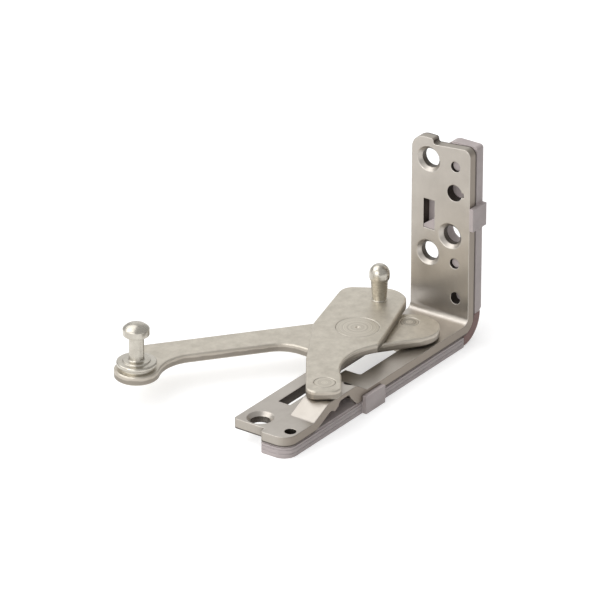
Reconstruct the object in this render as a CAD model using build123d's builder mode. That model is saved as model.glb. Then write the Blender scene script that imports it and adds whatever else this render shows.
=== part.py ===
from build123d import *

import os
from math import atan2, cos, degrees, radians, sin, sqrt

# Concealed corner hinge for a window frame: a folded steel bracket with plastic packers behind it,
# and a scissor of two arms that carries the sash on two upright pins.
# Millimetres, +Z up. The origin is on the foot pivot's axis, on the underside of the sill packer.
# +X runs along the sill limb to the jamb limb, and +Y points to the room side.

# Bracket, a strip of steel folded into a sill limb and a jamb limb
limb_width = 24.0
plate_thickness = 3.5
bend_radius = 2.5
slot_to_jamb = 8.0
pivot_to_end = 26.9
pivot_to_room_edge = 18.0
end_step = 2.6
end_step_width = 11.3
end_corner_radius = 5.0
small_corner_radius = 1.2
jamb_height = 65.8
jamb_step = 2.0
jamb_step_width = 15.2
jamb_corner_radius = 5.0
jamb_back_radius = 2.6
jamb_back_rise = 1.5

# Screw holes, measured from the room-side edge and from the nearer end of the limb
screw_hole_radius = 3.4
screw_head_radius = 4.7
screw_head_angle = 90.0
jamb_screw_inset = 7.0
jamb_screw_from_top = 7.9
jamb_screw_low = 22.8
middle_screw_inset = 16.0
middle_screw_height = 31.3
sill_screw_inset = 7.0
sill_screw_from_end = 5.6

# Peg holes and punched openings
peg_hole_radius = 1.9
peg_inset = 18.0
peg_from_top = 8.0
peg_low = 21.4
key_hole_radius = 3.0
key_hole_inset = 17.7
key_hole_height = 47.9
key_notch_width = 1.6
clip_slot_inset = 7.3
clip_slot_height = 37.3
clip_slot_width = 4.6
clip_slot_length = 11.0
drain_hole_inset = 18.6
drain_hole_height = 8.5
drain_hole_length = 4.4
drain_hole_width = 3.9
sill_peg_inset = 21.0
sill_peg_from_end = 3.2
sill_peg_hole_radius = 2.0

# Slide slot in the sill limb, and the narrow slot that leads on beside the bridge
slot_offset = 0.55
slot_side_room = 1.35
slot_end_room = 4.45
slot_length = 44.8
lead_slot_width = 4.8
lead_slot_length = 32.0
slot_corner_radius = 1.0

# Raised bridge that carries the foot pivot, lanced out of the sill limb's back edge
bridge_rise = 3.9
bridge_width = 10.0
bridge_front_foot = -14.0
bridge_front_top = -5.5
bridge_rear_top = 9.5
bridge_rear_foot = 15.5
bridge_bend_radius = 3.0
bridge_window_length = 5.2
bridge_window_width = 3.6
bridge_window_inset = 3.6
bridge_window_x = 11.3
edge_detail_depth = 2.4
arch_x = 3.2
arch_length = 7.0
arch_height = 3.6
nub_x = -2.4
nub_radius = 1.5
lug_rear = 13.2
lug_top_width = 6.3
lug_bottom_width = 2.6
lug_clearance = 0.3

# Packers behind the limbs
packer_thickness = 4.3
packer_gap = 0.05
packer_screw_wall = 0.8
jamb_packer_corner_radius = 4.0
packer_groove = 0.2
packer_rebate = 0.6
jamb_packer_rise = 1.2
clip_tab_thickness = 1.6
clip_tab_proud = 0.3
sill_clip_x = 19.0
sill_clip_length = 11.0
sill_clip_drop = 1.3
jamb_clip_height = 39.6
jamb_clip_length = 8.3
packer_peg_radius = 1.7
packer_peg_height = 2.4
packer_screw_radius = 3.9
key_recess_depth = 0.6
tongue_thickness = 2.2
tongue_margin = 1.2
tongue_nub_length = 4.4
tongue_nub_side = 1.2
tongue_nub_height = 3.3
packer_foot_chamfer = 1.2
slider_pocket_depth = 2.8
slider_pocket_margin = 0.9

# Corner filler round the outside of the fold
filler_thickness = 3.6

# Arms
arm_thickness = 3.2
arm_gap = 0.4
arm_edge_break = 0.35
running = 0.05

# Pivots and pins in plan, at the pose of the photograph
centre_pivot = (40.25, 14.9)
slide_pivot = (59.9, 7.0)
guide_pin_place = (62.4, 21.3)
eye_place = (-22.0, 61.9)

# Long arm
arm_width = 11.4
arm_bend_place = (39.5, 26.2)
arm_tip_place = (-9.5, 65.2)
eye_radius = 7.7
eye_fillet = 14.0
knuckle_offset = (-2.4, -2.4)
knuckle_radius = 9.8
knee_place = (26.7, 20.0)
knee_radius = 4.0
knee_rise = 0.6
knee_fillet = 11.0

# Control link
foot_turn = 35.6
foot_front = 6.6
foot_far_side = 6.3
foot_back_side = 5.6
foot_corner_radius = 3.4
hip_distance = 17.9
hip_radius = 5.9
waist_radius = 19.0
waist_bite = 0.5
waist_corner_radius = 1.0
belly_place = (39.4, 17.7)
belly_radius = 12.4
belly_corner_place = (33.2, 5.1)
belly_corner_radius = 3.2
head_radius = 9.2
shoulder_place = (61.0, 31.2)
shoulder_radius = 5.2

# Rivets, washers and the slide bush
centre_head_radius = 7.5
centre_head_height = 1.0
centre_shank_radius = 4.0
centre_tail_radius = 5.4
tail_height = 1.2
tail_clearance = 0.15
centre_dimple_radius = 0.9
centre_washer_radius = 9.0
foot_head_radius = 3.7
foot_head_height = 0.9
foot_shank_radius = 3.0
foot_tail_radius = 2.4
foot_tail_head_radius = 3.4
foot_tail_head_height = 0.9
foot_washer_radius = 5.0
washer_play = 0.02
slide_head_radius = 3.3
slide_head_height = 0.9
slide_shank_radius = 2.5
slide_tail_radius = 3.6
slide_tail_height = 0.7
bush_radius = 4.15
bush_flange_radius = 6.9
bush_flange_thickness = 0.5
bush_play = 0.1
slide_washer_radius = 7.0
slide_washer_thickness = 1.2
head_chamfer = 0.12

# Guide pin on the control link
guide_ball_radius = 3.6
guide_ball_band = 1.0
guide_ball_underside = 2.0
guide_base_radius = 2.45
guide_neck_radius = 3.05
guide_height = 13.4
guide_collar_radius = 3.4
guide_collar_height = 0.35
guide_shank_radius = 2.3

# Mushroom pin on the long arm's eye, with its spacer ring
mushroom_head_radius = 4.6
mushroom_head_band = 2.5
mushroom_head_round = 1.1
mushroom_dome_height = 2.1
mushroom_neck_radius = 2.6
mushroom_neck_length = 9.6
mushroom_collar_radius = 6.9
mushroom_collar_height = 1.5
mushroom_step_radius = 4.7
mushroom_step_height = 0.5
mushroom_shank_radius = 2.6
spacer_radius = 6.2
spacer_height = 1.2

# Levels and edges worked out from the sizes above
plate_bottom = packer_thickness
plate_top = plate_bottom + plate_thickness
room_edge = pivot_to_room_edge
back_edge = room_edge - limb_width
short_end = -pivot_to_end
long_end = short_end - end_step
slot_centre = slide_pivot[1] + slot_offset
slot_width = 2 * (bush_radius + slot_side_room)
slot_end = slide_pivot[0] + bush_radius + slot_end_room
slot_start = slot_end - slot_length
jamb_inner = slot_end + slot_to_jamb
jamb_outer = jamb_inner + plate_thickness
jamb_top = plate_top + jamb_height
jamb_low_top = jamb_top - jamb_step
jamb_back_top = jamb_low_top + jamb_back_rise
jamb_screw_heights = (jamb_height - jamb_screw_from_top, jamb_screw_low)
peg_heights = (jamb_height - peg_from_top, peg_low)
fold_x = jamb_inner - bend_radius
fold_z = plate_top + bend_radius
fold_outer_radius = bend_radius + plate_thickness
slot_room_side = slot_centre + slot_width / 2
bridge_edge = back_edge + bridge_width
bridge_top = plate_top + bridge_rise
bridge_bottom = bridge_top - plate_thickness
link_bottom = bridge_top + arm_gap
link_top = link_bottom + arm_thickness
arm_top = link_bottom - arm_gap
arm_bottom = arm_top - arm_thickness
jamb_packer_foot = fold_z
jamb_packer_top = jamb_low_top + jamb_packer_rise
jamb_packer_width = limb_width - middle_screw_inset + packer_screw_radius + packer_screw_wall


def upright(place):
    """Plane for a lathe profile about a vertical axis: local x is the radius, local y is height."""
    return Plane(origin=(place[0], place[1], 0), x_dir=(1, 0, 0), z_dir=(0, -1, 0))


def vertical_axis(place):
    return Axis((place[0], place[1], 0), (0, 0, 1))


def on_jamb(inset, height):
    """Point on the jamb limb in its own plane, from the room-side edge and the sill limb's top."""
    return (room_edge - inset, plate_top + height)


def jamb_face(inset, height):
    """Plane on the jamb limb's inner face, facing the arms."""
    place = on_jamb(inset, height)
    return Plane(origin=(jamb_inner, place[0], place[1]), x_dir=(0, 1, 0), z_dir=(-1, 0, 0))


def nearest_vertex(sketch, place):
    return sketch.vertices().sort_by_distance((place[0], place[1], 0))[0]


os.makedirs("parts", exist_ok=True)

with BuildPart() as corner_bracket:
    # Sill limb with its stepped end
    with BuildSketch(Plane.XY.offset(plate_bottom)) as sill_outline:
        step_y = back_edge + end_step_width
        with BuildLine():
            Polyline(
                (fold_x, room_edge),
                (short_end, room_edge),
                (short_end, step_y),
                (long_end, step_y),
                (long_end, back_edge),
                (fold_x, back_edge),
                close=True,
            )
        make_face()
        fillet(nearest_vertex(sill_outline, (long_end, back_edge)), end_corner_radius)
        fillet(nearest_vertex(sill_outline, (long_end, step_y)), small_corner_radius)
        fillet(nearest_vertex(sill_outline, (short_end, room_edge)), small_corner_radius)
        # Slide slot and its narrow lead
        with Locations(((slot_start + slot_end) / 2, slot_centre)):
            RectangleRounded(
                slot_end - slot_start, slot_width, slot_corner_radius, mode=Mode.SUBTRACT
            )
        with Locations((slot_start + slot_corner_radius * 2, slot_room_side - lead_slot_width / 2)):
            Rectangle(
                lead_slot_length + slot_corner_radius * 2,
                lead_slot_width,
                align=(Align.MAX, Align.CENTER),
                mode=Mode.SUBTRACT,
            )
        # Window under the bridge, filled by the raised strip below
        with Locations((bridge_front_foot, back_edge)):
            Rectangle(
                bridge_rear_foot - bridge_front_foot,
                bridge_width,
                align=(Align.MIN, Align.MIN),
                mode=Mode.SUBTRACT,
            )
    extrude(amount=plate_thickness)

    # Raised bridge, a constant thickness strip with a ramp at each end
    plate_middle = plate_bottom + plate_thickness / 2
    with BuildSketch(Plane.XZ.offset(-bridge_edge)) as bridge_profile:
        with BuildLine():
            FilletPolyline(
                (bridge_front_foot - plate_thickness, plate_middle),
                (bridge_front_foot, plate_middle),
                (bridge_front_top, plate_middle + bridge_rise),
                (bridge_rear_top, plate_middle + bridge_rise),
                (bridge_rear_foot, plate_middle),
                (bridge_rear_foot + plate_thickness, plate_middle),
                radius=bridge_bend_radius,
            )
        trace(line_width=plate_thickness)
    extrude(amount=bridge_width)

    # Shaped back edge of the bridge: a nub, an arch and a lug that stops above the packer
    lug_bottom = plate_bottom + lug_clearance
    with BuildSketch(Plane.XZ.offset(-back_edge - edge_detail_depth)) as edge_details:
        with Locations((nub_x, bridge_bottom + nub_radius / 2)):
            Circle(nub_radius)
        with BuildLine():
            Polyline(
                (lug_rear, lug_bottom),
                (lug_rear, lug_bottom + plate_thickness),
                (lug_rear - lug_top_width, bridge_bottom + plate_thickness / 2),
                (lug_rear - lug_top_width, bridge_bottom),
                (lug_rear - lug_bottom_width, lug_bottom),
                close=True,
            )
        make_face()
    extrude(amount=edge_detail_depth)
    with BuildSketch(Plane.XZ.offset(-back_edge - edge_detail_depth)) as arch_profile:
        with Locations((arch_x, bridge_bottom)):
            SlotOverall(arch_length, arch_height)
    extrude(amount=edge_detail_depth, mode=Mode.SUBTRACT)
    with BuildSketch(Plane.XY.offset(plate_bottom + lug_clearance + plate_thickness)) as window:
        with Locations((bridge_window_x, back_edge + bridge_window_inset)):
            SlotOverall(bridge_window_length, bridge_window_width)
    extrude(amount=bridge_rise + plate_thickness, both=True, mode=Mode.SUBTRACT)

    # Fold
    with BuildSketch(Plane.XZ.offset(-room_edge)) as fold_profile:
        with Locations((fold_x, fold_z)):
            Circle(fold_outer_radius)
            Circle(bend_radius, mode=Mode.SUBTRACT)
            Rectangle(
                fold_outer_radius,
                fold_outer_radius,
                align=(Align.MIN, Align.MAX),
                mode=Mode.INTERSECT,
            )
    extrude(amount=limb_width)

    # Jamb limb, taller on the room side
    with BuildSketch(Plane.YZ.offset(jamb_inner)) as jamb_outline:
        jamb_step_y = back_edge + jamb_step_width
        with BuildLine():
            Polyline(
                (back_edge, fold_z),
                (back_edge, jamb_back_top),
                (jamb_step_y, jamb_low_top),
                (jamb_step_y, jamb_top),
                (room_edge, jamb_top),
                (room_edge, fold_z),
                close=True,
            )
        make_face()
        fillet(nearest_vertex(jamb_outline, (room_edge, jamb_top)), jamb_corner_radius)
        fillet(nearest_vertex(jamb_outline, (jamb_step_y, jamb_top)), jamb_step * 0.45)
        fillet(nearest_vertex(jamb_outline, (jamb_step_y, jamb_low_top)), jamb_step * 0.45)
        fillet(nearest_vertex(jamb_outline, (back_edge, jamb_back_top)), jamb_back_radius)
        with Locations(*[on_jamb(peg_inset, height) for height in peg_heights]):
            Circle(peg_hole_radius, mode=Mode.SUBTRACT)
        with Locations(on_jamb(key_hole_inset, key_hole_height)):
            Circle(key_hole_radius, mode=Mode.SUBTRACT)
        with Locations(on_jamb(key_hole_inset + key_hole_radius, key_hole_height)):
            Rectangle(key_notch_width, key_notch_width, mode=Mode.SUBTRACT)
        with Locations(on_jamb(clip_slot_inset, clip_slot_height)):
            Rectangle(clip_slot_width, clip_slot_length, mode=Mode.SUBTRACT)
        with Locations(on_jamb(drain_hole_inset, drain_hole_height)):
            SlotOverall(drain_hole_length, drain_hole_width, rotation=90, mode=Mode.SUBTRACT)
    extrude(amount=plate_thickness)

    # Countersunk screw holes
    with Locations(*[jamb_face(jamb_screw_inset, height) for height in jamb_screw_heights]):
        CounterSinkHole(screw_hole_radius, screw_head_radius, plate_thickness, screw_head_angle)
    with Locations(jamb_face(middle_screw_inset, middle_screw_height)):
        CounterSinkHole(screw_hole_radius, screw_head_radius, plate_thickness, screw_head_angle)
    with Locations((short_end + sill_screw_from_end, room_edge - sill_screw_inset, plate_top)):
        CounterSinkHole(screw_hole_radius, screw_head_radius, plate_thickness, screw_head_angle)
    with Locations((short_end + sill_peg_from_end, room_edge - sill_peg_inset, plate_top)):
        Hole(sill_peg_hole_radius, plate_thickness)
    with Locations((0, 0, bridge_top)):
        Hole(foot_tail_radius + washer_play, plate_thickness)
corner_bracket.part.label = "corner_bracket"
export_step(corner_bracket.part, "parts/corner_bracket.step")

with BuildPart() as sill_packer:
    packer_room_side = back_edge + end_step_width
    packer_end = fold_x
    with BuildSketch() as sill_packer_outline:
        with Locations((long_end, back_edge)):
            Rectangle(packer_end - long_end, end_step_width, align=(Align.MIN, Align.MIN))
        fillet(nearest_vertex(sill_packer_outline, (long_end, back_edge)), end_corner_radius)
        fillet(nearest_vertex(sill_packer_outline, (long_end, packer_room_side)), small_corner_radius)
    extrude(amount=packer_thickness)
    # A rebate next to the plate, and two fine grooves that split the side into bands
    with BuildSketch(Plane.XY.offset(packer_thickness)) as sill_rebate:
        add(sill_packer_outline.sketch_local)
        offset(amount=-packer_rebate, mode=Mode.SUBTRACT)
    extrude(amount=-packer_rebate, mode=Mode.SUBTRACT)
    with BuildSketch() as groove_outline:
        add(sill_packer_outline.sketch)
        offset(amount=-packer_groove, mode=Mode.SUBTRACT)
    for band in (1, 2):
        groove_z = packer_thickness * band / 3
        extrude(
            groove_outline.sketch.moved(Location((0, 0, groove_z - packer_groove / 2))),
            amount=packer_groove,
            mode=Mode.SUBTRACT,
        )
    # Pocket for the slider's washer over its whole travel
    pocket_reach = slot_centre - slide_washer_radius - slot_width / 2 + bush_radius
    with BuildSketch(Plane.XY.offset(packer_thickness)) as slider_pocket:
        with Locations((slot_start, pocket_reach - slider_pocket_margin)):
            Rectangle(
                slot_end + slide_washer_radius - bush_radius - slot_start,
                end_step_width,
                align=(Align.MIN, Align.MIN),
            )
    extrude(amount=-slider_pocket_depth, mode=Mode.SUBTRACT)
    # Clip tab up the back edge of the plate
    with BuildSketch() as sill_clip:
        with Locations((sill_clip_x, back_edge - packer_gap)):
            Rectangle(sill_clip_length, clip_tab_thickness, align=(Align.CENTER, Align.MAX))
    extrude(amount=plate_top - sill_clip_drop)
    with BuildSketch() as sill_clip_root:
        with Locations((sill_clip_x, back_edge)):
            Rectangle(sill_clip_length, clip_tab_thickness, align=(Align.CENTER, Align.CENTER))
    extrude(amount=packer_thickness)
    with Locations((short_end + sill_peg_from_end, room_edge - sill_peg_inset, packer_thickness)):
        Hole(sill_peg_hole_radius, packer_thickness)
sill_packer.part.label = "sill_packer"
export_step(sill_packer.part, "parts/sill_packer.step")

with BuildPart() as jamb_packer:
    jamb_packer_side = back_edge + jamb_packer_width
    with BuildSketch(Plane.YZ.offset(jamb_outer)) as jamb_packer_outline:
        with Locations((back_edge, jamb_packer_foot)):
            Rectangle(
                jamb_packer_width, jamb_packer_top - jamb_packer_foot, align=(Align.MIN, Align.MIN)
            )
        fillet(
            nearest_vertex(jamb_packer_outline, (jamb_packer_side, jamb_packer_top)),
            jamb_packer_corner_radius,
        )
        fillet(nearest_vertex(jamb_packer_outline, (back_edge, jamb_packer_top)), small_corner_radius)
    extrude(amount=packer_thickness)
    foot_edge = jamb_packer.edges().filter_by(Axis.Y).group_by(Axis.Z)[0].sort_by(Axis.X)[-1]
    chamfer(foot_edge, packer_foot_chamfer)
    with BuildSketch(Plane.YZ.offset(jamb_outer)) as jamb_rebate:
        add(jamb_packer_outline.sketch_local)
        offset(amount=-packer_rebate, mode=Mode.SUBTRACT)
    extrude(amount=packer_rebate, mode=Mode.SUBTRACT)
    # Tongue that reaches behind the clip slot, with a nub that snaps into it
    with BuildSketch(Plane.YZ.offset(jamb_outer)) as tongue:
        tongue_reach = clip_slot_inset - clip_slot_width / 2 - tongue_margin
        tongue_end, tongue_middle = on_jamb(tongue_reach, clip_slot_height)
        with Locations((jamb_packer_side, tongue_middle)):
            Rectangle(
                tongue_end - jamb_packer_side,
                clip_slot_length + 2 * tongue_margin,
                align=(Align.MIN, Align.CENTER),
            )
    extrude(amount=tongue_thickness)
    with BuildSketch(Plane.YZ.offset(jamb_outer)) as tongue_nub:
        nub_edge, nub_base = on_jamb(
            clip_slot_inset + clip_slot_width / 2, clip_slot_height - clip_slot_length / 2
        )
        with BuildLine():
            Polyline(
                (nub_edge + packer_gap, nub_base + packer_gap),
                (nub_edge + packer_gap, nub_base + tongue_nub_length),
                (nub_edge + clip_slot_width - packer_gap, nub_base + tongue_nub_side),
                (nub_edge + clip_slot_width - packer_gap, nub_base + packer_gap),
                close=True,
            )
        make_face()
    extrude(amount=-tongue_nub_height)
    # Pegs in the plate's peg holes
    with BuildSketch(Plane.YZ.offset(jamb_outer)) as jamb_pegs:
        with Locations(*[on_jamb(peg_inset, height) for height in peg_heights]):
            Circle(packer_peg_radius)
    extrude(amount=-packer_peg_height)
    # Clip tab round the plate's back edge
    with BuildSketch(Plane.YZ.offset(jamb_inner - clip_tab_proud)) as jamb_clip:
        with Locations((back_edge - packer_gap, plate_top + jamb_clip_height)):
            Rectangle(clip_tab_thickness, jamb_clip_length, align=(Align.MAX, Align.CENTER))
    extrude(amount=clip_tab_proud + plate_thickness + packer_thickness)
    with BuildSketch(Plane.YZ.offset(jamb_outer)) as jamb_clip_root:
        with Locations((back_edge, plate_top + jamb_clip_height)):
            Rectangle(clip_tab_thickness, jamb_clip_length)
    extrude(amount=packer_thickness)
    # Room for the middle screw, and a blind recess behind the key hole
    screw_y, screw_z = on_jamb(middle_screw_inset, middle_screw_height)
    with Locations(Plane(origin=(jamb_outer, screw_y, screw_z), z_dir=(-1, 0, 0))):
        Hole(packer_screw_radius, packer_thickness)
    key_y, key_z = on_jamb(key_hole_inset, key_hole_height)
    with Locations(Plane(origin=(jamb_outer, key_y, key_z), z_dir=(-1, 0, 0))):
        Hole(key_hole_radius, key_recess_depth)
jamb_packer.part.label = "jamb_packer"
export_step(jamb_packer.part, "parts/jamb_packer.step")

with BuildPart() as corner_filler:
    with BuildSketch(Plane.XZ.offset(-back_edge - jamb_packer_width)) as filler_profile:
        with Locations((fold_x, fold_z)):
            Circle(fold_outer_radius + packer_gap + filler_thickness)
            Circle(fold_outer_radius + packer_gap, mode=Mode.SUBTRACT)
            Rectangle(
                fold_outer_radius + filler_thickness * 2,
                fold_outer_radius + filler_thickness * 2,
                align=(Align.MIN, Align.MAX),
                mode=Mode.INTERSECT,
            )
    extrude(amount=jamb_packer_width)
corner_filler.part.label = "corner_filler"
export_step(corner_filler.part, "parts/corner_filler.step")

with BuildPart() as foot_rivet:
    with BuildSketch(upright((0, 0))) as foot_rivet_profile:
        with BuildLine():
            Polyline(
                (0, link_top),
                (foot_head_radius - head_chamfer, link_top),
                (foot_head_radius, link_top - head_chamfer),
                (foot_head_radius, link_top - foot_head_height),
                (foot_shank_radius, link_top - foot_head_height),
                (foot_shank_radius, bridge_top),
                (foot_tail_radius, bridge_top),
                (foot_tail_radius, bridge_bottom),
                (foot_tail_head_radius, bridge_bottom),
                (foot_tail_radius, bridge_bottom - foot_tail_head_height),
                (0, bridge_bottom - foot_tail_head_height),
                close=True,
            )
        make_face()
    revolve(axis=Axis.Z)
foot_rivet.part.label = "foot_rivet"
export_step(foot_rivet.part, "parts/foot_rivet.step")

with BuildPart() as foot_washer:
    with BuildSketch(Plane.XY.offset(bridge_top)) as foot_washer_outline:
        Circle(foot_washer_radius)
        Circle(foot_shank_radius + running, mode=Mode.SUBTRACT)
    extrude(amount=arm_gap - washer_play)
foot_washer.part.label = "foot_washer"
export_step(foot_washer.part, "parts/foot_washer.step")

with BuildPart() as control_link:
    # The foot is a bar in its own direction, and its back side runs on into the hollow waist
    along = Vector(cos(radians(foot_turn)), sin(radians(foot_turn)))
    across = Vector(along.Y, -along.X)
    foot_end = along * (foot_corner_radius - foot_front)
    hip = along * hip_distance + across * (foot_back_side - hip_radius)
    belly_corner = Vector(*belly_corner_place)
    waist_reach = waist_radius + belly_corner_radius
    waist_offset = foot_back_side + waist_radius - belly_corner.dot(across)
    waist = belly_corner + across * waist_offset - along * sqrt(waist_reach**2 - waist_offset**2)
    web_start = waist - across * (waist_radius + foot_back_side)
    with BuildSketch(Plane.XY.offset(link_bottom), mode=Mode.PRIVATE) as foot_bar:
        with Locations(
            foot_end + across * (foot_back_side - foot_corner_radius),
            foot_end - across * (foot_far_side - foot_corner_radius),
        ):
            Circle(foot_corner_radius)
        with Locations(hip):
            Circle(hip_radius)
        make_hull()
    with BuildSketch(Plane.XY.offset(link_bottom), mode=Mode.PRIVATE) as belly_lobe:
        with Locations(belly_place):
            Circle(belly_radius)
        with Locations(belly_corner_place):
            Circle(belly_corner_radius)
        with Locations(guide_pin_place):
            Circle(head_radius)
        make_hull()
    with BuildSketch(Plane.XY.offset(link_bottom)) as link_outline:
        with Locations(hip):
            Circle(hip_radius)
        with Locations(belly_place):
            Circle(belly_radius)
        with Locations(guide_pin_place):
            Circle(head_radius)
        with Locations(shoulder_place):
            Circle(shoulder_radius)
        make_hull()
        with BuildLine():
            Polyline(web_start, waist, belly_corner, Vector(*belly_place), hip, close=True)
        make_face()
        add(foot_bar.sketch_local)
        add(belly_lobe.sketch_local)
        with Locations(waist):
            Circle(waist_radius + waist_bite, mode=Mode.SUBTRACT)
        waist_ends = link_outline.vertices().sort_by(
            lambda vertex: abs((vertex.center() - waist).length - waist_radius - waist_bite)
        )
        fillet(waist_ends[:2], waist_corner_radius)
    extrude(amount=arm_thickness)
    chamfer(control_link.faces().filter_by(Axis.Z).edges(), arm_edge_break)
    # Stepped seats for the foot rivet, which it turns on, and for the centre rivet
    with Locations((0, 0, link_top)):
        CounterBoreHole(
            foot_shank_radius + running,
            foot_head_radius + running,
            foot_head_height + running,
            arm_thickness,
        )
    with Locations((*centre_pivot, link_top)):
        CounterBoreHole(
            centre_shank_radius + washer_play,
            centre_head_radius + washer_play,
            centre_head_height,
            arm_thickness,
        )
    with Locations((*guide_pin_place, link_top)):
        Hole(guide_shank_radius + washer_play, arm_thickness)
control_link.part.label = "control_link"
export_step(control_link.part, "parts/control_link.step")

with BuildPart() as centre_rivet:
    with BuildSketch(upright(centre_pivot)) as centre_rivet_profile:
        with BuildLine():
            Polyline(
                (0, link_top - centre_dimple_radius / 2),
                (centre_dimple_radius, link_top),
                (centre_head_radius - head_chamfer, link_top),
                (centre_head_radius, link_top - head_chamfer),
                (centre_head_radius, link_top - centre_head_height),
                (centre_shank_radius, link_top - centre_head_height),
                (centre_shank_radius, arm_bottom + tail_height),
                (centre_tail_radius, arm_bottom + running),
                (0, arm_bottom + running),
                close=True,
            )
        make_face()
    revolve(axis=vertical_axis(centre_pivot))
centre_rivet.part.label = "centre_rivet"
export_step(centre_rivet.part, "parts/centre_rivet.step")

with BuildPart() as centre_washer:
    with BuildSketch(Plane.XY.offset(arm_top + washer_play)) as centre_washer_outline:
        with Locations(centre_pivot):
            Circle(centre_washer_radius)
            Circle(centre_shank_radius + running, mode=Mode.SUBTRACT)
    extrude(amount=arm_gap - washer_play)
centre_washer.part.label = "centre_washer"
export_step(centre_washer.part, "parts/centre_washer.step")

with BuildPart() as guide_pin:
    ball_top = link_top + guide_height
    band_top = ball_top - guide_ball_radius
    band_bottom = band_top - guide_ball_band
    underside_run = guide_ball_underside - guide_ball_radius + guide_neck_radius
    neck_top = band_bottom - sqrt(guide_ball_underside**2 - underside_run**2)
    with BuildSketch(upright(guide_pin_place)) as guide_profile:
        with BuildLine():
            Polyline(
                (0, link_bottom),
                (guide_shank_radius, link_bottom),
                (guide_shank_radius, link_top),
                (guide_collar_radius, link_top),
                (guide_collar_radius, link_top + guide_collar_height),
                (guide_base_radius, link_top + guide_collar_height),
                (guide_neck_radius, neck_top),
            )
            RadiusArc(
                (guide_neck_radius, neck_top), (guide_ball_radius, band_bottom), -guide_ball_underside
            )
            Line((guide_ball_radius, band_bottom), (guide_ball_radius, band_top))
            RadiusArc((guide_ball_radius, band_top), (0, ball_top), -guide_ball_radius)
            Line((0, ball_top), (0, link_bottom))
        make_face()
    revolve(axis=vertical_axis(guide_pin_place))
guide_pin.part.label = "guide_pin"
export_step(guide_pin.part, "parts/guide_pin.step")

with BuildPart() as long_arm:
    strip_turn = atan2(arm_bend_place[1] - arm_tip_place[1], arm_bend_place[0] - arm_tip_place[0])
    strip_direction = Vector(cos(strip_turn), sin(strip_turn))
    strip_side = Vector(sin(strip_turn), -cos(strip_turn))
    # The strip's near edge meets the eye and the knee in inside corners
    strip_edge = Vector(*arm_tip_place) + strip_side * (arm_width / 2)
    knee_x = knee_place[0] - knee_radius
    knee_corner = strip_edge + strip_direction * ((knee_x - strip_edge.X) / strip_direction.X)
    with BuildSketch(Plane.XY.offset(arm_bottom), mode=Mode.PRIVATE) as eye_lobe:
        with Locations(arm_tip_place):
            Circle(arm_width / 2)
        with Locations(eye_place):
            Circle(eye_radius)
        make_hull()
    with BuildSketch(Plane.XY.offset(arm_bottom)) as arm_outline:
        with Locations((slide_pivot[0] + knuckle_offset[0], slide_pivot[1] + knuckle_offset[1])):
            Circle(knuckle_radius)
        with Locations(knee_place, (knee_place[0], knee_corner.Y + knee_rise)):
            Circle(knee_radius)
        with Locations(arm_bend_place):
            Circle(arm_width / 2)
        make_hull()
        with BuildLine():
            Line(Vector(*arm_tip_place), Vector(*arm_bend_place))
        trace(line_width=arm_width)
        add(eye_lobe.sketch_local)
        fillet(nearest_vertex(arm_outline, (knee_corner.X, knee_corner.Y)), knee_fillet)
        fillet(nearest_vertex(arm_outline, (strip_edge.X, strip_edge.Y)), eye_fillet)
    extrude(amount=arm_thickness)
    chamfer(long_arm.faces().filter_by(Axis.Z).edges(), arm_edge_break)
    # Pivot hole with a countersink below for the centre rivet's tail
    with Locations(Plane(origin=(*centre_pivot, arm_bottom), z_dir=(0, 0, -1))):
        CounterSinkHole(
            centre_shank_radius + running,
            centre_tail_radius + tail_clearance,
            arm_thickness,
            2 * degrees(atan2(centre_tail_radius - centre_shank_radius, tail_height - running)),
        )
    with Locations((*slide_pivot, arm_top)):
        CounterBoreHole(
            slide_shank_radius + washer_play,
            slide_head_radius + washer_play,
            slide_head_height,
            arm_thickness,
        )
    with Locations((*eye_place, arm_top)):
        Hole(mushroom_shank_radius + washer_play, arm_thickness)
long_arm.part.label = "long_arm"
export_step(long_arm.part, "parts/long_arm.step")

with BuildPart() as slide_bush:
    bush_bottom = plate_bottom - bush_play
    flange_bottom = arm_bottom - bush_flange_thickness
    with BuildSketch(Plane.XY.offset(bush_bottom)) as bush_outline:
        with Locations(slide_pivot):
            Circle(bush_radius)
    extrude(amount=arm_bottom - bush_bottom)
    with BuildSketch(Plane.XY.offset(flange_bottom)) as bush_flange:
        with Locations(slide_pivot):
            Circle(bush_flange_radius)
    extrude(amount=bush_flange_thickness)
    with Locations((*slide_pivot, arm_bottom)):
        Hole(slide_shank_radius + washer_play)
slide_bush.part.label = "slide_bush"
export_step(slide_bush.part, "parts/slide_bush.step")

with BuildPart() as slide_washer:
    with BuildSketch(Plane.XY.offset(bush_bottom)) as slide_washer_outline:
        with Locations(slide_pivot):
            Circle(slide_washer_radius)
            Circle(slide_shank_radius + washer_play, mode=Mode.SUBTRACT)
    extrude(amount=-slide_washer_thickness)
slide_washer.part.label = "slide_washer"
export_step(slide_washer.part, "parts/slide_washer.step")

with BuildPart() as slide_rivet:
    tail_top = bush_bottom - slide_washer_thickness
    with BuildSketch(upright(slide_pivot)) as slide_rivet_profile:
        with BuildLine():
            Polyline(
                (0, arm_top),
                (slide_head_radius - head_chamfer, arm_top),
                (slide_head_radius, arm_top - head_chamfer),
                (slide_head_radius, arm_top - slide_head_height),
                (slide_shank_radius, arm_top - slide_head_height),
                (slide_shank_radius, tail_top),
                (slide_tail_radius, tail_top),
                (slide_shank_radius, tail_top - slide_tail_height),
                (0, tail_top - slide_tail_height),
                close=True,
            )
        make_face()
    revolve(axis=vertical_axis(slide_pivot))
slide_rivet.part.label = "slide_rivet"
export_step(slide_rivet.part, "parts/slide_rivet.step")

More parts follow.
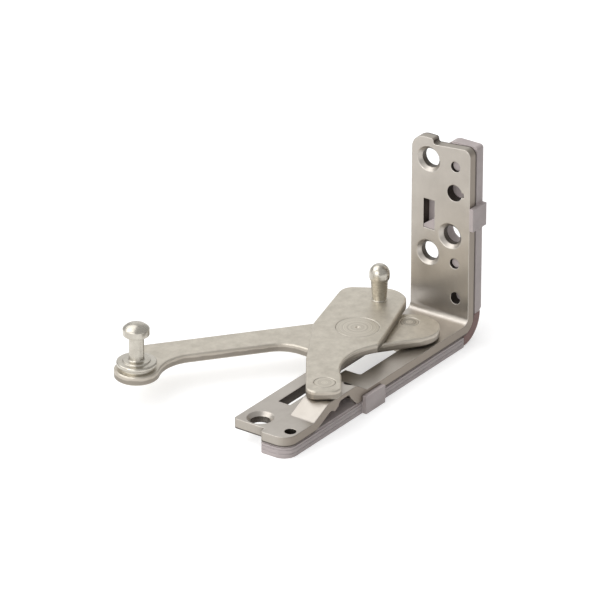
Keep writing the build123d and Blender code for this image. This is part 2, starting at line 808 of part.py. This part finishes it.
with BuildPart() as spacer_ring:
    with BuildSketch(Plane.XY.offset(arm_top)) as spacer_outline:
        with Locations(eye_place):
            Circle(spacer_radius)
            Circle(mushroom_shank_radius + washer_play, mode=Mode.SUBTRACT)
    extrude(amount=spacer_height)
spacer_ring.part.label = "spacer_ring"
export_step(spacer_ring.part, "parts/spacer_ring.step")

with BuildPart() as mushroom_pin:
    collar_bottom = arm_top + spacer_height
    collar_top = collar_bottom + mushroom_collar_height
    step_top = collar_top + mushroom_step_height
    head_bottom = collar_top + mushroom_neck_length
    round_top = head_bottom + mushroom_head_round
    band_top = head_bottom + mushroom_head_band
    dome_top = band_top + mushroom_dome_height
    dome_radius = (mushroom_head_radius**2 / mushroom_dome_height + mushroom_dome_height) / 2
    head_start = mushroom_head_radius - mushroom_head_round
    with BuildSketch(upright(eye_place)) as mushroom_profile:
        with BuildLine():
            Polyline(
                (0, arm_bottom),
                (mushroom_shank_radius, arm_bottom),
                (mushroom_shank_radius, collar_bottom),
                (mushroom_collar_radius, collar_bottom),
                (mushroom_collar_radius, collar_top - mushroom_step_height),
                (mushroom_collar_radius - mushroom_step_height, collar_top),
                (mushroom_step_radius, collar_top),
                (mushroom_step_radius, step_top),
                (mushroom_neck_radius + mushroom_step_height, step_top),
                (mushroom_neck_radius, step_top + mushroom_step_height),
                (mushroom_neck_radius, head_bottom),
                (head_start, head_bottom),
            )
            RadiusArc((head_start, head_bottom), (mushroom_head_radius, round_top), -mushroom_head_round)
            Line((mushroom_head_radius, round_top), (mushroom_head_radius, band_top))
            RadiusArc((mushroom_head_radius, band_top), (0, dome_top), -dome_radius)
            Line((0, dome_top), (0, arm_bottom))
        make_face()
    revolve(axis=vertical_axis(eye_place))
mushroom_pin.part.label = "mushroom_pin"
export_step(mushroom_pin.part, "parts/mushroom_pin.step")
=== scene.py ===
import bpy
import numpy as np
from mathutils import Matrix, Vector


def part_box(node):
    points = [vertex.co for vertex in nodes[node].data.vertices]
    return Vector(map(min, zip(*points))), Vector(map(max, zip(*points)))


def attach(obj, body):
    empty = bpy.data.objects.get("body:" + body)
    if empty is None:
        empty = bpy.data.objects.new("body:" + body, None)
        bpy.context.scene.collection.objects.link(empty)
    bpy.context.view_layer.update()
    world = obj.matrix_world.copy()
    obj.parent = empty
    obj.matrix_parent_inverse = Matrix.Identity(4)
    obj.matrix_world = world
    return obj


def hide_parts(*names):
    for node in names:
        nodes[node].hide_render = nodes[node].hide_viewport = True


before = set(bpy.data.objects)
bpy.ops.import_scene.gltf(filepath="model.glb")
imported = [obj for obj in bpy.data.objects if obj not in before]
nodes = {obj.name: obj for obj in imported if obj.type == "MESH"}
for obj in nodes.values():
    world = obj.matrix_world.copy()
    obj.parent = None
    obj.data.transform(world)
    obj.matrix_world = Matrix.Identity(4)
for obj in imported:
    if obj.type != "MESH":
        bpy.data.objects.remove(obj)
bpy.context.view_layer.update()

# Corner bracket: one strip of sheet steel, punched and lanced flat, then folded into the sill limb
# and the jamb limb. It is zinc plated after pressing, which leaves a satin skin with faint rolling
# lines along the strip, bright rounded edges and darker cut walls. Painted shade darkens the walls
# of its slots and holes and its joints with the packers, and in part its long cut sides.


def add_node(tree, kind, inputs=None, **settings):
    """Adds a shader node. An input that is a socket is linked, and any other is a plain value."""
    node = tree.nodes.new(kind)
    for name, value in settings.items():
        setattr(node, name, value)
    for name, value in (inputs or {}).items():
        if isinstance(value, bpy.types.NodeSocket):
            tree.links.new(value, node.inputs[name])
        else:
            node.inputs[name].default_value = value
    return node


def add_math(tree, operation, *values):
    """Result of a Math node on values that are each a socket or a number."""
    node = add_node(tree, "ShaderNodeMath", dict(enumerate(values)), operation=operation)
    return node.outputs["Value"]


def remap(tree, value, start, end, low=0.0, high=1.0):
    """Value that goes straight from low to high as the given one goes from start to end, held beyond."""
    limits = {"From Min": start, "From Max": end, "To Min": low, "To Max": high}
    return add_node(tree, "ShaderNodeMapRange", {"Value": value, **limits}).outputs["Result"]


def spread(tree, noise, low=0.0, high=1.0):
    """Noise, which lives between 0.3 and 0.7, stretched over low to high."""
    return remap(tree, noise, start=0.3, end=0.7, low=low, high=high)


def add_noise(tree, place, scale, detail, roughness=0.5):
    """Cloudy noise over a place in space."""
    settings = {"Vector": place, "Scale": scale, "Detail": detail, "Roughness": roughness}
    return add_node(tree, "ShaderNodeTexNoise", settings).outputs["Fac"]


def blend_colours(tree, factor, first, second):
    """Colour between first and second by factor; each colour is a value or a socket."""
    mix = add_node(tree, "ShaderNodeMix", data_type="RGBA", clamp_factor=True)
    tree.links.new(factor, mix.inputs["Factor"])
    for socket, colour in ((mix.inputs[6], first), (mix.inputs[7], second)):
        if isinstance(colour, bpy.types.NodeSocket):
            tree.links.new(colour, socket)
        else:
            socket.default_value = (*colour, 1.0)
    return mix.outputs[2]


def new_group(name, inputs, outputs):
    """Shader node group with float or vector inputs {name: (kind, default)} and outputs {name: kind}."""
    group = bpy.data.node_groups.new(name, "ShaderNodeTree")
    for socket, (kind, default) in inputs.items():
        made = group.interface.new_socket(socket, in_out="INPUT", socket_type=kind)
        made.default_value = default
    for socket, kind in outputs.items():
        group.interface.new_socket(socket, in_out="OUTPUT", socket_type=kind)
    return group, group.nodes.new("NodeGroupInput"), group.nodes.new("NodeGroupOutput")


def place_group(tree, group, **inputs):
    """Outputs of a node group placed in a material with its own values, named as its sockets are."""
    node = tree.nodes.new("ShaderNodeGroup")
    node.node_tree = group
    for name, value in inputs.items():
        node.inputs[name.replace("_", " ").title()].default_value = value
    return node.outputs


def new_material(name):
    """Material with an empty Principled BSDF; returns the material, its tree and the shader."""
    material = bpy.data.materials.new(name)
    material.use_nodes = True
    return material, material.node_tree, material.node_tree.nodes["Principled BSDF"]


def fill_shader(tree, shader, colour, roughness, metallic=0.0):
    """Links what changes over the surface to the shader, and sets how metallic all of it is."""
    tree.links.new(colour, shader.inputs["Base Color"])
    tree.links.new(roughness, shader.inputs["Roughness"])
    shader.inputs["Metallic"].default_value = metallic


def emboss(tree, shader, height, normal, strength, distance):
    """Fine relief on top of the rounded edges' normal."""
    relief = {"Height": height, "Normal": normal, "Strength": strength, "Distance": distance}
    bump = add_node(tree, "ShaderNodeBump", relief)
    tree.links.new(bump.outputs["Normal"], shader.inputs["Normal"])


def paint(material, *names):
    """Gives CAD nodes a material in place of their plain one."""
    for name in names:
        nodes[name].material_slots[0].material = material


def rounded_edges_group():
    """Normal that rounds every edge by a radius, and a mask that is 1 along those edges, where the
    rounded normal leaves the true one."""
    group, given, result = new_group(
        "rounded_edges",
        {"Radius": ("NodeSocketFloat", 0.0004)},
        {"Normal": "NodeSocketVector", "Edge": "NodeSocketFloat"},
    )
    bevel = add_node(group, "ShaderNodeBevel", {"Radius": given.outputs["Radius"]}, samples=8)
    surface = add_node(group, "ShaderNodeNewGeometry")
    normals = {0: bevel.outputs["Normal"], 1: surface.outputs["Normal"]}
    agree = add_node(group, "ShaderNodeVectorMath", normals, operation="DOT_PRODUCT")
    edge = remap(group, agree.outputs["Value"], start=0.995, end=0.8)
    group.links.new(bevel.outputs["Normal"], result.inputs["Normal"])
    group.links.new(edge, result.inputs["Edge"])
    return group


def plating_group():
    """Cloudy patches and fine grain of a plated surface, both 0 to 1, in the object's own metres."""
    group, given, result = new_group(
        "plating",
        {"Patch Scale": ("NodeSocketFloat", 120.0), "Grain Scale": ("NodeSocketFloat", 2200.0)},
        {"Patch": "NodeSocketFloat", "Grain": "NodeSocketFloat"},
    )
    place = add_node(group, "ShaderNodeTexCoord").outputs["Object"]
    patch = add_noise(group, place, given.outputs["Patch Scale"], detail=4.0, roughness=0.6)
    grain = add_noise(group, place, given.outputs["Grain Scale"], detail=3.0, roughness=0.65)
    group.links.new(patch, result.inputs["Patch"])
    group.links.new(grain, result.inputs["Grain"])
    return group


rounded_edges = rounded_edges_group()
plating = plating_group()


def bracket_steel_material():
    """Satin plated strip: lines along it, dark cut walls, and painted shade in slots and packer joints.
    """
    dull, clear, worn = (0.45, 0.415, 0.375), (0.525, 0.49, 0.445), (0.61, 0.58, 0.53)
    # The first and last colours on the next line carry painted shade: in part the long cut sides' tone,
    # and the near black of slot walls and packer joints
    cut_side_and_shade, cut_end, painted_shade = (0.31, 0.27, 0.23), (0.44, 0.405, 0.36), (0.06, 0.052, 0.045)
    fold_reach = 0.006
    low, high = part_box("corner_bracket")
    material, tree, shader = new_material("bracket_steel")
    edges = place_group(tree, rounded_edges, radius=0.0005)
    skin = place_group(tree, plating, patch_scale=90.0, grain_scale=2400.0)
    # Rolling lines run along the strip, so they change quickly across it and slowly along it
    place = add_node(tree, "ShaderNodeTexCoord").outputs
    strip = {"Vector": place["Object"], "Scale": (25.0, 1500.0, 25.0)}
    along = add_node(tree, "ShaderNodeMapping", strip).outputs["Vector"]
    lines = add_noise(tree, along, scale=1.0, detail=3.0)
    # A cut wall is a face that turns away from the strip's own face: up on the sill limb, along X on
    # the jamb limb, and either of them round the fold
    at = add_node(tree, "ShaderNodeSeparateXYZ", {"Vector": place["Object"]}).outputs
    beyond_fold = add_math(tree, "GREATER_THAN", at["X"], high.x - fold_reach)
    above_fold = add_math(tree, "GREATER_THAN", at["Z"], low.z + fold_reach)
    on_jamb = add_math(tree, "MULTIPLY", beyond_fold, above_fold)
    off_jamb = add_math(tree, "SUBTRACT", 1.0, on_jamb)
    ways = add_node(tree, "ShaderNodeCombineXYZ", {"X": beyond_fold, "Z": off_jamb}).outputs["Vector"]
    faced = add_node(tree, "ShaderNodeVectorMath", {0: place["Normal"], 1: ways}, operation="MULTIPLY")
    facing = add_node(tree, "ShaderNodeVectorMath", {0: faced.outputs["Vector"]}, operation="LENGTH")
    wall = remap(tree, facing.outputs["Value"], start=0.5, end=0.2)
    # The strip's long sides are slit and darker than its cropped ends, partly in their own duller tone
    # and partly as painted shade
    direction = add_node(tree, "ShaderNodeSeparateXYZ", {"Vector": place["Normal"]}).outputs
    cut = blend_colours(tree, add_math(tree, "ABSOLUTE", direction["Y"]), cut_end, cut_side_and_shade)
    # Painted shade: slot and hole walls turn near black where another wall of the part is opposite
    open_air = add_node(
        tree, "ShaderNodeAmbientOcclusion", {"Distance": 0.008}, samples=8, only_local=True
    )
    cavity_shade = remap(tree, open_air.outputs["AO"], start=0.92, end=0.7, high=0.9)
    # Painted shade also darkens the joint with the packers, along the foot of the sill's edge and the
    # back of the jamb's
    over_foot = add_math(tree, "SUBTRACT", at["Z"], low.z)
    before_back = add_math(tree, "SUBTRACT", high.x, at["X"])
    off_joint = add_math(tree, "MINIMUM", over_foot, before_back)
    joint = remap(tree, off_joint, start=0.0006, end=0.0003, high=0.85)
    painted_shade_mask = add_math(tree, "MAXIMUM", cavity_shade, joint)
    cloudy = blend_colours(tree, spread(tree, skin["Patch"]), dull, clear)
    edged = blend_colours(tree, edges["Edge"], cloudy, worn)
    # Painted shade: cut walls go to near black by the occlusion and joint masks
    cut_and_shade = blend_colours(tree, painted_shade_mask, cut, painted_shade)
    colour = blend_colours(tree, wall, edged, cut_and_shade)
    wall_roughness = 0.16
    rough = add_math(tree, "MULTIPLY_ADD", wall, wall_roughness, spread(tree, lines, 0.35, 0.42))
    fill_shader(tree, shader, colour, rough, metallic=1.0)
    emboss(tree, shader, lines, edges["Normal"], strength=0.012, distance=0.0001)
    return material


paint(bracket_steel_material(), "corner_bracket")

# Packers: moulded plastic blocks that fill the frame's groove behind the limbs. Pegs, a tongue and
# clip tabs hold them to the steel. The grey has a slight mauve cast and a fine moulded grain.


def packer_plastic_material():
    """Grey moulded plastic: faint clouds, and edges that handling has rubbed pale."""
    shade, light, rubbed = (0.385, 0.335, 0.33), (0.465, 0.41, 0.40), (0.54, 0.485, 0.48)
    material, tree, shader = new_material("packer_plastic")
    edges = place_group(tree, rounded_edges, radius=0.0004)
    skin = place_group(tree, plating, patch_scale=160.0, grain_scale=3500.0)
    cloudy = blend_colours(tree, spread(tree, skin["Patch"]), shade, light)
    colour = blend_colours(tree, edges["Edge"], cloudy, rubbed)
    fill_shader(tree, shader, colour, spread(tree, skin["Grain"], 0.42, 0.58))
    emboss(tree, shader, skin["Grain"], edges["Normal"], strength=0.12, distance=0.0001)
    return material


paint(packer_plastic_material(), "sill_packer", "jamb_packer")

# Corner filler: a moulded quarter ring round the outside of the fold. It is a red-brown plastic,
# a little glossier than the packers, and it is held between them.


def filler_plastic_material():
    """Red-brown moulded plastic with faint clouds."""
    shade, light = (0.13, 0.062, 0.052), (0.20, 0.10, 0.085)
    material, tree, shader = new_material("filler_plastic")
    edges = place_group(tree, rounded_edges, radius=0.0005)
    skin = place_group(tree, plating, patch_scale=220.0, grain_scale=3500.0)
    colour = blend_colours(tree, spread(tree, skin["Patch"]), shade, light)
    fill_shader(tree, shader, colour, spread(tree, skin["Grain"], 0.34, 0.46))
    emboss(tree, shader, skin["Grain"], edges["Normal"], strength=0.1, distance=0.0001)
    return material


paint(filler_plastic_material(), "corner_filler")

# Bearings: thin washers at the two pivots and the slider's bush in the slot. They are a dark
# slippery plastic, and hardly show between the arms.


def bearing_plastic_material():
    """Near-black plastic with faint clouds."""
    shade, light = (0.035, 0.034, 0.032), (0.06, 0.058, 0.055)
    material, tree, shader = new_material("bearing_plastic")
    skin = place_group(tree, plating, patch_scale=400.0, grain_scale=4000.0)
    colour = blend_colours(tree, spread(tree, skin["Patch"]), shade, light)
    fill_shader(tree, shader, colour, spread(tree, skin["Grain"], 0.38, 0.5))
    return material


paint(bearing_plastic_material(), "foot_washer", "centre_washer", "slide_bush")

# Arms: the control link and the long arm, stamped from thick strip. Both are tumbled before plating,
# so the faces are matt and every edge is soft, and the walls show where the punch tore the steel.


def cut_wall_group():
    """Masks for the walls of a stamped plate. Wall is 1 where the normal lies flat, and Torn is 1 over
    the part of it below an uneven line a little above half height, where the smooth shear ends."""
    group, given, result = new_group(
        "cut_wall",
        {"Foot": ("NodeSocketFloat", 0.0), "Top": ("NodeSocketFloat", 0.003)},
        {"Wall": "NodeSocketFloat", "Torn": "NodeSocketFloat"},
    )
    waver_share = 0.3
    place = add_node(group, "ShaderNodeTexCoord").outputs
    direction = add_node(group, "ShaderNodeSeparateXYZ", {"Vector": place["Normal"]}).outputs
    wall = remap(group, add_math(group, "ABSOLUTE", direction["Z"]), start=0.85, end=0.4)
    at = add_node(group, "ShaderNodeSeparateXYZ", {"Vector": place["Object"]}).outputs
    height = remap(group, at["Z"], given.outputs["Foot"], given.outputs["Top"])
    waver = add_noise(group, place["Object"], scale=260.0, detail=3.0)
    uneven = add_math(group, "MULTIPLY_ADD", waver, waver_share, height)
    torn = remap(group, uneven, start=0.78, end=0.68)
    group.links.new(wall, result.inputs["Wall"])
    group.links.new(torn, result.inputs["Torn"])
    return group


cut_wall = cut_wall_group()


def arm_steel_material(node):
    """Tumbled and plated steel: cloudy matt faces, sheared and torn walls, and bright soft rims."""
    dull, clear, worn = (0.53, 0.49, 0.42), (0.655, 0.61, 0.53), (0.73, 0.695, 0.62)
    sheared, torn = (0.51, 0.465, 0.40), (0.30, 0.27, 0.23)
    rim_wear = 0.6
    low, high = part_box(node)
    material, tree, shader = new_material(node + "_steel")
    edges = place_group(tree, rounded_edges, radius=0.0007)
    skin = place_group(tree, plating, patch_scale=300.0, grain_scale=1800.0)
    walls = place_group(tree, cut_wall, foot=low.z, top=high.z)
    cloudy = blend_colours(tree, spread(tree, skin["Patch"]), dull, clear)
    broken = blend_colours(tree, walls["Torn"], sheared, torn)
    faces = blend_colours(tree, walls["Wall"], cloudy, broken)
    colour = blend_colours(tree, add_math(tree, "MULTIPLY", edges["Edge"], rim_wear), faces, worn)
    fill_shader(tree, shader, colour, spread(tree, skin["Grain"], 0.40, 0.52), metallic=1.0)
    emboss(tree, shader, skin["Grain"], edges["Normal"], strength=0.14, distance=0.0002)
    return material


for arm in ("control_link", "long_arm"):
    paint(arm_steel_material(arm), arm)

# Rivets: the foot, centre and slide rivets are set flush by a spinning punch and ground with the
# arms, so only a fine ring and a change of tone show where each head ends. The slider's washer is
# of the same steel, and the slide rivet is given the darkest tone.


def spun_rings_group():
    """Fine rings about an upright axis, 0 to 1: noise that changes only with the distance from it."""
    group, given, result = new_group(
        "spun_rings",
        {"Axis": ("NodeSocketVector", (0.0, 0.0, 0.0)), "Ring Scale": ("NodeSocketFloat", 1600.0)},
        {"Rings": "NodeSocketFloat"},
    )
    place = add_node(group, "ShaderNodeTexCoord").outputs["Object"]
    flat = add_node(group, "ShaderNodeVectorMath", {0: place, 1: (1.0, 1.0, 0.0)}, operation="MULTIPLY")
    ends = {0: flat.outputs["Vector"], 1: given.outputs["Axis"]}
    off_axis = add_node(group, "ShaderNodeVectorMath", ends, operation="DISTANCE")
    rings = add_node(
        group,
        "ShaderNodeTexNoise",
        {"W": off_axis.outputs["Value"], "Scale": given.outputs["Ring Scale"], "Detail": 2.0},
        noise_dimensions="1D",
    )
    group.links.new(rings.outputs["Fac"], result.inputs["Rings"])
    return group


spun_rings = spun_rings_group()


def rivet_steel_material(node, dull):
    """Spun steel: rings about the rivet's axis, and a dark groove round the rim."""
    clear, groove = (0.68, 0.635, 0.55), (0.22, 0.195, 0.165)
    low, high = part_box(node)
    middle = (low + high) / 2
    material, tree, shader = new_material(node + "_steel")
    edges = place_group(tree, rounded_edges, radius=0.0003)
    skin = place_group(tree, plating, patch_scale=500.0, grain_scale=2200.0)
    rings = place_group(tree, spun_rings, axis=(middle.x, middle.y, 0.0), ring_scale=1600.0)["Rings"]
    ringed = blend_colours(tree, spread(tree, rings), dull, clear)
    colour = blend_colours(tree, edges["Edge"], ringed, groove)
    fill_shader(tree, shader, colour, spread(tree, skin["Grain"], 0.36, 0.5), metallic=1.0)
    emboss(tree, shader, rings, edges["Normal"], strength=0.12, distance=0.0002)
    return material


for rivet in ("foot_rivet", "centre_rivet", "slide_washer"):
    paint(rivet_steel_material(rivet, dull=(0.47, 0.43, 0.365)), rivet)
paint(rivet_steel_material("slide_rivet", dull=(0.24, 0.215, 0.18)), "slide_rivet")

# Guide pin: a turned steel pin with a ball end, riveted upright into the control link. Fine
# turning lines go round it, and it is smoother and shinier than the arms.


def rounded_profile(points, cut, steps=5):
    """Lathe profile with soft corners: at each corner P the curve (1-t)^2 A + 2t(1-t) P + t^2 B,
    where A and B lie on the corner's two sides, at most cut away from it."""
    longest_share = 0.45
    points = np.asarray(points, float)
    corner = points[1:-1]
    back, ahead = points[:-2] - corner, points[2:] - corner
    back_length = np.linalg.norm(back, axis=1, keepdims=True)
    ahead_length = np.linalg.norm(ahead, axis=1, keepdims=True)
    reach = np.minimum(cut, longest_share * np.minimum(back_length, ahead_length))
    start, end = corner + back / back_length * reach, corner + ahead / ahead_length * reach
    t = np.linspace(0.0, 1.0, steps)[None, :, None]
    curve = (1 - t) ** 2 * start[:, None] + 2 * t * (1 - t) * corner[:, None] + t**2 * end[:, None]
    return np.vstack([points[:1], curve.reshape(-1, 2), points[-1:]])


def arc_profile(centre, radius, start, end, steps):
    """Points of a circle in the profile's plane, from one angle to another, in degrees from outwards."""
    angle = np.radians(np.linspace(start, end, steps))
    return np.stack([centre[0] + radius * np.cos(angle), centre[1] + radius * np.sin(angle)], axis=1)


def lathe(name, profile, axis, steps=96):
    """Surface of revolution about an upright axis: row i of the profile, at angle a, is the axis plus
    radius[i] (cos a, sin a), at height[i]. The first and last rows lie on the axis and close it."""
    radius, height = np.asarray(profile, float).T
    angle = np.linspace(0.0, 2 * np.pi, steps, endpoint=False)
    rings = np.empty((len(radius) - 2, steps, 3))
    rings[..., 0] = axis[0] + radius[1:-1, None] * np.cos(angle)
    rings[..., 1] = axis[1] + radius[1:-1, None] * np.sin(angle)
    rings[..., 2] = height[1:-1, None]
    poles = np.array([[axis[0], axis[1], height[0]], [axis[0], axis[1], height[-1]]])
    vertices = np.vstack([rings.reshape(-1, 3), poles])
    here = np.arange(steps)
    there = np.roll(here, -1)
    row = np.arange(len(rings) - 1)[:, None] * steps
    walls = np.stack([row + here, row + there, row + steps + there, row + steps + here], axis=-1)
    last = (len(rings) - 1) * steps
    foot = np.stack([there, here, np.full(steps, len(vertices) - 2)], axis=-1)
    top = np.stack([last + here, last + there, np.full(steps, len(vertices) - 1)], axis=-1)
    mesh = bpy.data.meshes.new(name)
    mesh.from_pydata(vertices.tolist(), [], walls.reshape(-1, 4).tolist() + foot.tolist() + top.tolist())
    mesh.polygons.foreach_set("use_smooth", np.ones(len(mesh.polygons), bool))
    mesh.update()
    piece = bpy.data.objects.new(name, mesh)
    bpy.context.scene.collection.objects.link(piece)
    return piece


def pin_steel_material(name, axis):
    """Turned steel: fine rings about the pin's own upright axis, in roughness and bump."""
    dull, clear, worn = (0.47, 0.44, 0.385), (0.58, 0.55, 0.485), (0.63, 0.60, 0.54)
    material, tree, shader = new_material(name)
    edges = place_group(tree, rounded_edges, radius=0.0003)
    skin = place_group(tree, plating, patch_scale=350.0, grain_scale=2600.0)
    place = add_node(tree, "ShaderNodeTexCoord").outputs["Object"]
    centring = {"Vector": place, "Location": (-axis[0], -axis[1], 0.0)}
    centred = add_node(tree, "ShaderNodeMapping", centring).outputs["Vector"]
    # The noise is squeezed along the axis, so it changes quickly up the pin and slowly round it
    squeezing = {"Vector": centred, "Scale": (60.0, 60.0, 5000.0)}
    squeezed = add_node(tree, "ShaderNodeMapping", squeezing).outputs["Vector"]
    rings = add_noise(tree, squeezed, scale=1.0, detail=2.0)
    cloudy = blend_colours(tree, spread(tree, skin["Patch"]), dull, clear)
    colour = blend_colours(tree, edges["Edge"], cloudy, worn)
    fill_shader(tree, shader, colour, spread(tree, rings, 0.25, 0.31), metallic=1.0)
    emboss(tree, shader, rings, edges["Normal"], strength=0.008, distance=0.00005)
    return material


def build_guide_pin():
    """Profile from the riveted shank up: a low collar, a stem that widens to the neck, an arc under
    the ball, a short upright band and a half-round top."""
    low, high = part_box("guide_pin")
    axis = (low + high) / 2
    link_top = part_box("control_link")[1].z
    ball = (high.x - low.x) / 2
    shank, collar, collar_height = 0.0023, 0.0028, 0.0002
    base, neck, band, underside = 0.00245, 0.00305, 0.001, 0.002
    collar_top = link_top + collar_height
    band_top = high.z - ball
    band_foot = band_top - band
    turn = np.degrees(np.arccos((underside - ball + neck) / underside))
    under = arc_profile((ball - underside, band_foot), underside, -turn, 0.0, steps=10)
    stem = rounded_profile(
        [
            (0.0, low.z),
            (shank, low.z),
            (shank, link_top),
            (collar, link_top),
            (collar, collar_top),
            (base, collar_top),
            tuple(under[0]),
        ],
        cut=0.00012,
    )
    dome = arc_profile((0.0, band_top), ball, 0.0, 90.0, steps=24)
    dome[-1, 0] = 0.0
    piece = lathe("guide_pin_turned", np.vstack([stem, under[1:], dome]), axis)
    piece.data.materials.append(pin_steel_material("guide_pin_steel", axis))
    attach(piece, "link")
    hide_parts("guide_pin")


build_guide_pin()

# Mushroom pin and its spacer: a turned pin with a mushroom head and a wide collar, riveted through
# a plain ring into the long arm's eye. A keyhole plate on the sash slides over its neck.


def build_mushroom_pin():
    """Profile from the riveted shank up: the wide collar, a small step, the neck, the head's upright
    band and a shallow dome, which is the arc through the band's rim and the pin's top."""
    low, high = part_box("mushroom_pin")
    axis = (low + high) / 2
    collar_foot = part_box("spacer_ring")[1].z
    collar = (high.x - low.x) / 2
    shank, neck, head, step = 0.0026, 0.0026, 0.0046, 0.0047
    collar_height, step_height, head_rise, band_height = 0.0015, 0.0005, 0.0096, 0.0025
    collar_top = collar_foot + collar_height
    step_top = collar_top + step_height
    head_foot = collar_top + head_rise
    band_top = head_foot + band_height
    dome_rise = high.z - band_top
    dome_radius = (head**2 / dome_rise + dome_rise) / 2
    rim = np.degrees(np.arccos(head / dome_radius))
    dome = arc_profile((0.0, high.z - dome_radius), dome_radius, rim, 90.0, steps=18)
    dome[-1, 0] = 0.0
    stem = rounded_profile(
        [
            (0.0, low.z),
            (shank, low.z),
            (shank, collar_foot),
            (collar, collar_foot),
            (collar, collar_top),
            (step, collar_top),
            (step, step_top),
            (neck, step_top),
            (neck, head_foot),
            (head, head_foot),
            (head, band_top),
            tuple(dome[1]),
        ],
        cut=0.0006,
    )
    piece = lathe("mushroom_pin_turned", np.vstack([stem, dome[2:]]), axis)
    piece.data.materials.append(pin_steel_material("mushroom_pin_steel", axis))
    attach(piece, "arm")
    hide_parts("mushroom_pin")
    paint(pin_steel_material("spacer_ring_steel", axis), "spacer_ring")


build_mushroom_pin()

# Floor: a plain pale sheet under the part. To the camera and in reflections it is near white, and
# it still takes the part's soft shadow.


def build_floor():
    """Flat square, whose glow only the camera and mirrored or refracted rays see."""
    half, pale, glow = 6.0, 0.65, 0.52
    mesh = bpy.data.meshes.new("floor")
    corners = np.array([(-half, -half, 0), (half, -half, 0), (half, half, 0), (-half, half, 0)])
    mesh.from_pydata(corners.tolist(), [], [(0, 1, 2, 3)])
    floor = bpy.data.objects.new("floor", mesh)
    bpy.context.scene.collection.objects.link(floor)
    material, tree, shader = new_material("floor_white")
    shader.inputs["Base Color"].default_value = (pale, pale, pale, 1.0)
    shader.inputs["Roughness"].default_value = 1.0
    shader.inputs["Specular IOR Level"].default_value = 0.0
    shader.inputs["Emission Color"].default_value = (1.0, 1.0, 1.0, 1.0)
    path = add_node(tree, "ShaderNodeLightPath").outputs
    seen = add_math(tree, "MAXIMUM", path["Is Camera Ray"], path["Is Glossy Ray"])
    through = add_math(tree, "MAXIMUM", seen, path["Is Transmission Ray"])
    tree.links.new(add_math(tree, "MULTIPLY", through, glow), shader.inputs["Emission Strength"])
    mesh.materials.append(material)


build_floor()

# Studio light: a soft box overhead, a weak one behind, a very large one on the left and a smaller one
# in front, in a plain grey room.


def add_softbox(name, direction, distance, size, watts):
    """Square area lamp that looks at the part from a direction, in metres and watts."""
    middle = Vector((0.03, 0.03, 0.02))
    lamp = bpy.data.lights.new(name, "AREA")
    lamp.shape = "SQUARE"
    lamp.size = size
    lamp.energy = watts
    softbox = bpy.data.objects.new(name, lamp)
    away = Vector(direction).normalized()
    softbox.location = middle + away * distance
    softbox.rotation_euler = away.to_track_quat("Z", "Y").to_euler()
    bpy.context.scene.collection.objects.link(softbox)


add_softbox("overhead_softbox", (-0.15, 0.52, 0.84), distance=0.9, size=0.85, watts=3.4)
add_softbox("back_softbox", (0.73, 0.52, 0.44), distance=1.2, size=0.9, watts=1.15)
add_softbox("left_softbox", (-0.66, 0.45, 0.60), distance=1.2, size=1.4, watts=4.6)
add_softbox("front_softbox", (-0.92, -0.05, 0.38), distance=1.2, size=0.8, watts=4.8)

room = bpy.data.worlds.new("room")
room.use_nodes = True
room.node_tree.nodes["Background"].inputs["Color"].default_value = (0.55, 0.55, 0.55, 1.0)
bpy.context.scene.world = room

# Camera: the photograph's viewpoint, from in front and above on the sill limb's back side, with a
# long lens.


def place_camera():
    """Camera at its own point, turned so that its view goes along the looking direction."""
    camera = bpy.data.cameras.new("camera")
    camera.lens = 344.26
    camera.sensor_width = 36.0
    camera.clip_end = 50.0
    viewer = bpy.data.objects.new("camera", camera)
    viewer.location = (-1.3903, -0.9863, 0.8813)
    looking = Vector((0.7299, 0.5231, -0.4401))
    viewer.rotation_euler = looking.to_track_quat("-Z", "Y").to_euler()
    bpy.context.scene.collection.objects.link(viewer)
    bpy.context.scene.camera = viewer


place_camera()
bpy.context.scene.view_settings.view_transform = "Standard"
